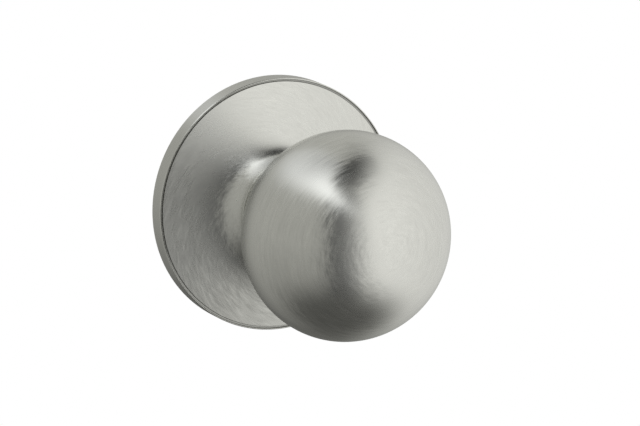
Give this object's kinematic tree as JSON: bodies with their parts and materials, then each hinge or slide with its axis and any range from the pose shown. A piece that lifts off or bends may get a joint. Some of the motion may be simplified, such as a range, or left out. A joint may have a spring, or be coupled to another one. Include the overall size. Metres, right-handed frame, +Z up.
{
  "type": "passage door knob, outside half",
  "caption": "Ball-shaped door knob on a round rose, with the spring cage, bushes, square spindle and mounting posts that turn and hold it.",
  "frame": {"origin": "middle of the spindle's free end, on the knob's axis; the door's outside face is the plane y = -0.048 m", "axes": "+Y along the knob's axis into the door, -Y towards the hand, +Z up, +X to the right of someone facing the knob"},
  "size_m": [0.0666, 0.1199, 0.0666],
  "materials": {
    "satin_nickel": "satin, spun and brushed",
    "zinc_plated_steel": "pressed, zinc plated",
    "turned_steel": "turned or drawn, bare",
    "spring_steel": "oiled, dark",
    "zinc_casting": "as cast",
    "nylon": "moulded"
  },
  "bodies": {
    "trim": {"rose": "satin_nickel", "backing_plate": "zinc_plated_steel", "front_bush": "nylon", "spring_cage": "zinc_plated_steel", "return_spring": "spring_steel", "cage_rivet_1": "turned_steel", "cage_rivet_2": "turned_steel", "cage_rivet_3": "turned_steel", "cage_rivet_4": "turned_steel", "mounting_post_left": "turned_steel", "mounting_post_right": "turned_steel", "rear_bush": "nylon", "wave_washer": "spring_steel"},
    "knob": {"knob_shell": "satin_nickel", "knob_neck": "satin_nickel", "knob_core": "zinc_casting", "shank_tube": "turned_steel", "spindle": "turned_steel", "cross_pin": "turned_steel", "spring_driver": "zinc_plated_steel", "rear_washer": "zinc_plated_steel", "retaining_ring": "spring_steel"}
  },
  "joints": [
    {"name": "knob_turn", "type": "hinge", "parent": "trim", "child": "knob", "pos_m": [0, -0.048, 0], "axis": [0, 1, 0], "range_deg": [-60, 60], "stiffness_Nm_per_rad": 0.25, "deforming": ["return_spring"]}
  ]
}
